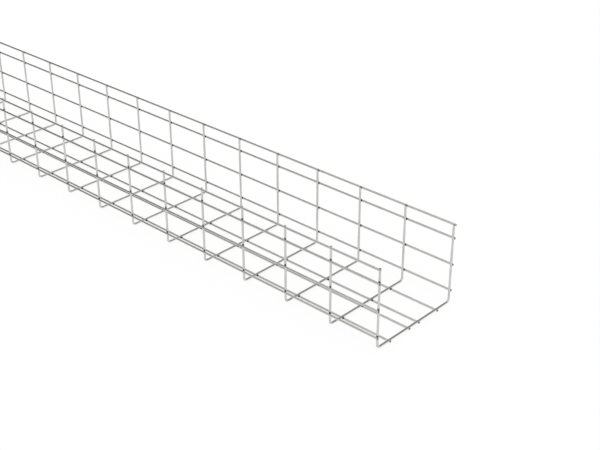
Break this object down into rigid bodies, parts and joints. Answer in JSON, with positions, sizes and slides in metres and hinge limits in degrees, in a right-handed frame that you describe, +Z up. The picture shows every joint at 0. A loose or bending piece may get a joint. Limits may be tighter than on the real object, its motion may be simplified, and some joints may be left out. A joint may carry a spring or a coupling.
{
  "type": "wire mesh cable basket",
  "caption": "Open U-shaped cable tray of welded zinc-plated steel wire: straight long wires welded outside bent cross wires, for carrying cable runs.",
  "frame": {"origin": "on the plane that the bottom wires lie on, under the middle of the tray's length and width", "axes": "+X along the tray, +Y across it to the left wall, +Z up out of the open top"},
  "size_m": [3.004, 0.2, 0.1531],
  "materials": {
    "long_wire": "bright drawn steel wire, electroplated with zinc, satin",
    "cross_wire": "bright drawn steel wire, electroplated with zinc, satin, with dull grey marks at the welds"
  },
  "bodies": {
    "root": {"left_low_wire": "long_wire", "left_middle_wire": "long_wire", "left_high_wire": "long_wire", "left_rim_wire": "long_wire", "right_low_wire": "long_wire", "right_middle_wire": "long_wire", "right_high_wire": "long_wire", "right_rim_wire": "long_wire", "bottom_wire_1": "long_wire", "bottom_wire_2": "long_wire", "bottom_wire_3": "long_wire", "bottom_wire_4": "long_wire", "cross_wire_01": "cross_wire", "cross_wire_02": "cross_wire", "cross_wire_03": "cross_wire", "cross_wire_04": "cross_wire", "cross_wire_05": "cross_wire", "cross_wire_06": "cross_wire", "cross_wire_07": "cross_wire", "cross_wire_08": "cross_wire", "cross_wire_09": "cross_wire", "cross_wire_10": "cross_wire", "cross_wire_11": "cross_wire", "cross_wire_12": "cross_wire", "cross_wire_13": "cross_wire", "cross_wire_14": "cross_wire", "cross_wire_15": "cross_wire", "cross_wire_16": "cross_wire", "cross_wire_17": "cross_wire", "cross_wire_18": "cross_wire", "cross_wire_19": "cross_wire", "cross_wire_20": "cross_wire", "cross_wire_21": "cross_wire", "cross_wire_22": "cross_wire", "cross_wire_23": "cross_wire", "cross_wire_24": "cross_wire", "cross_wire_25": "cross_wire", "cross_wire_26": "cross_wire", "cross_wire_27": "cross_wire", "cross_wire_28": "cross_wire", "cross_wire_29": "cross_wire", "cross_wire_30": "cross_wire", "cross_wire_31": "cross_wire"}
  },
  "joints": []
}
